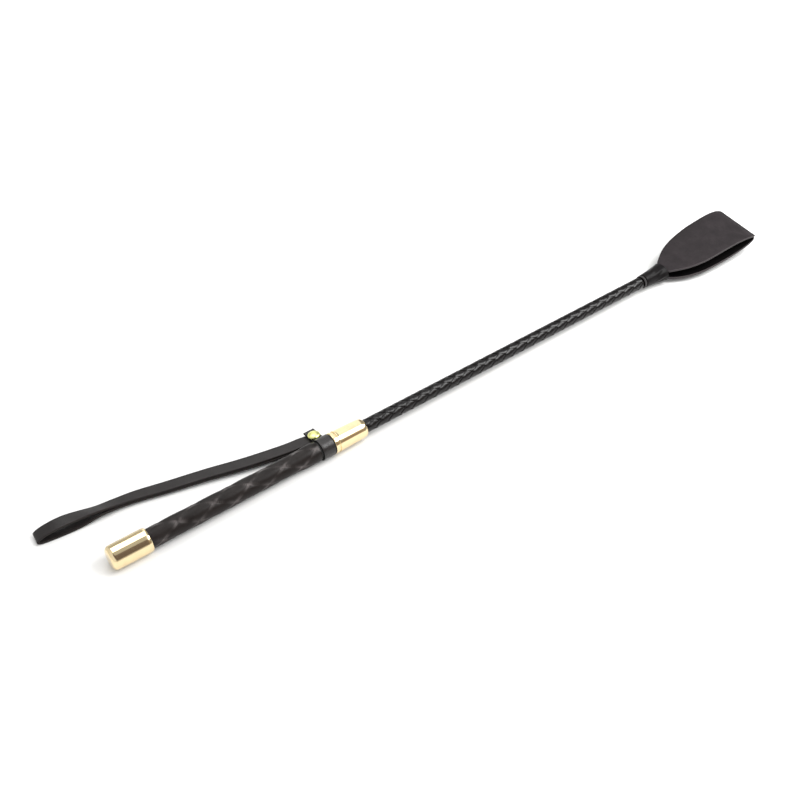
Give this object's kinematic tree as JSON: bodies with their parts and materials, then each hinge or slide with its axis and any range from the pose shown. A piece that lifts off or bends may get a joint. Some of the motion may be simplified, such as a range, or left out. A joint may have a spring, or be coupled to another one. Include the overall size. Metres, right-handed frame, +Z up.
{
  "type": "riding crop",
  "caption": "Riding crop with plaited handle and shaft, metal butt cap and ferrule, riveted leather wrist strap on a turning collar, and a folded leather tongue at the tip.",
  "frame": {"origin": "centre of the butt cap's flat end, on the crop's long axis", "axes": "+X along the crop from butt to tongue, +Z up as it lies on a table, +Y towards the side on which the wrist strap lies"},
  "size_m": [0.6176, 0.0727, 0.0246],
  "materials": {
    "fibreglass": "drawn fibreglass rod, off-white",
    "core_plastic": "moulded black plastic sleeve",
    "waxed_thread": "black waxed thread, tightly wound",
    "grip_leather": "black plaited leather strips, satin, lightly waxed",
    "shaft_leather": "black finely plaited leather lace, semi-gloss",
    "binding_leather": "thin black leather sleeve, satin",
    "tongue_leather": "smooth black leather, matt, fine grain",
    "strap_leather": "smooth black leather strap, matt, dark cut edges",
    "pale_gold_metal": "polished pale gold plating on brass",
    "rivet_brass": "polished yellow brass rivet"
  },
  "bodies": {
    "crop": {"core_rod": "fibreglass", "handle_core": "core_plastic", "grip_tie": "waxed_thread", "shaft_tie": "waxed_thread", "handle_grip": "grip_leather", "butt_cap": "pale_gold_metal", "ferrule": "pale_gold_metal", "shaft_cover": "shaft_leather", "tip_binding": "binding_leather", "binding_ring": "waxed_thread"},
    "collar": {"strap_collar": "strap_leather", "rivet_cap": "rivet_brass", "rivet_post": "rivet_brass"},
    "strap": {"wrist_strap": "strap_leather"},
    "tongue": {"tongue": "tongue_leather"}
  },
  "joints": [
    {"name": "collar_turn", "type": "hinge", "parent": "crop", "child": "collar", "pos_m": [0.1582, 0, 0], "axis": [1, 0, 0], "continuous": true},
    {"name": "strap_swivel", "type": "hinge", "parent": "collar", "child": "strap", "pos_m": [0.158, 0.01201, -0.00212], "axis": [0, 0.1736, 0.9848], "range_deg": [-95, 2]},
    {"name": "tongue_flex", "type": "hinge", "parent": "crop", "child": "tongue", "pos_m": [0.494, 0, 0], "axis": [0, -1, 0], "range_deg": [-22, 22], "stiffness_Nm_per_rad": 0.5, "deforming": ["tongue"]}
  ]
}
